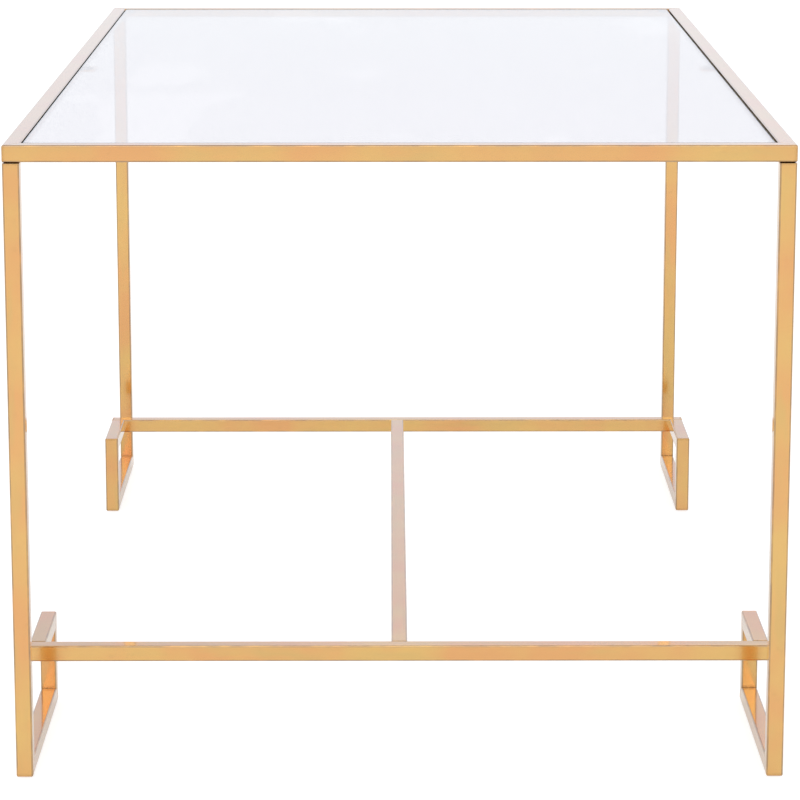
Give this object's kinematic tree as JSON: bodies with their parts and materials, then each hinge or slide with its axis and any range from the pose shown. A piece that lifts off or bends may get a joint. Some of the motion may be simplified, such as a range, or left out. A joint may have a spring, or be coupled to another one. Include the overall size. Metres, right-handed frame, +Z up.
{
  "type": "glass-top desk",
  "caption": "Rectangular desk with a lift-out clear glass top set into a square gold tube frame, Greek-key feet, cross stretchers and a long centre bar.",
  "frame": {"origin": "on the floor, under the centre of the desk's outline", "axes": "+Z up; X across the width, between the long sides; Y along the length, with the front end at -Y"},
  "size_m": [0.914, 1.524, 0.762],
  "materials": {
    "gold_frame": "polished gold plating on steel tube, clear lacquered, with a faint warm and cool mottle",
    "clear_glass": "clear tempered float glass with flat polished edges and a slight green edge tint",
    "clear_pad": "clear soft polyurethane bumper, slightly glossy",
    "zinc_fastener": "bright zinc plated steel",
    "nylon_glide": "moulded off-white nylon"
  },
  "bodies": {
    "frame": {"top_rail_front": "gold_frame", "top_rail_back": "gold_frame", "top_rail_left": "gold_frame", "top_rail_right": "gold_frame", "glass_tab_left": "gold_frame", "glass_tab_right": "gold_frame", "tab_pad_left": "clear_pad", "tab_pad_right": "clear_pad", "stretcher_front": "gold_frame", "stretcher_back": "gold_frame", "centre_bar": "gold_frame", "leg_front_left": "gold_frame", "foot_rail_front_left": "gold_frame", "foot_post_front_left": "gold_frame", "foot_return_front_left": "gold_frame", "stretcher_cap_front_left": "gold_frame", "leg_plate_front_left": "gold_frame", "screw_front_left": "zinc_fastener", "rivet_nut_front_left": "zinc_fastener", "glide_outer_front_left": "nylon_glide", "glide_inner_front_left": "nylon_glide", "glass_gusset_front_left": "gold_frame", "gusset_pad_front_left": "clear_pad", "leg_front_right": "gold_frame", "foot_rail_front_right": "gold_frame", "foot_post_front_right": "gold_frame", "foot_return_front_right": "gold_frame", "stretcher_cap_front_right": "gold_frame", "leg_plate_front_right": "gold_frame", "screw_front_right": "zinc_fastener", "rivet_nut_front_right": "zinc_fastener", "glide_outer_front_right": "nylon_glide", "glide_inner_front_right": "nylon_glide", "glass_gusset_front_right": "gold_frame", "gusset_pad_front_right": "clear_pad", "leg_back_left": "gold_frame", "foot_rail_back_left": "gold_frame", "foot_post_back_left": "gold_frame", "foot_return_back_left": "gold_frame", "stretcher_cap_back_left": "gold_frame", "leg_plate_back_left": "gold_frame", "screw_back_left": "zinc_fastener", "rivet_nut_back_left": "zinc_fastener", "glide_outer_back_left": "nylon_glide", "glide_inner_back_left": "nylon_glide", "glass_gusset_back_left": "gold_frame", "gusset_pad_back_left": "clear_pad", "leg_back_right": "gold_frame", "foot_rail_back_right": "gold_frame", "foot_post_back_right": "gold_frame", "foot_return_back_right": "gold_frame", "stretcher_cap_back_right": "gold_frame", "leg_plate_back_right": "gold_frame", "screw_back_right": "zinc_fastener", "rivet_nut_back_right": "zinc_fastener", "glide_outer_back_right": "nylon_glide", "glide_inner_back_right": "nylon_glide", "glass_gusset_back_right": "gold_frame", "gusset_pad_back_right": "clear_pad"},
    "glass": {"glass_top": "clear_glass"}
  },
  "joints": [
    {"name": "glass_lift", "type": "slide", "parent": "frame", "child": "glass", "axis": [0, 0, 1], "range_m": [0, 0.1]}
  ]
}
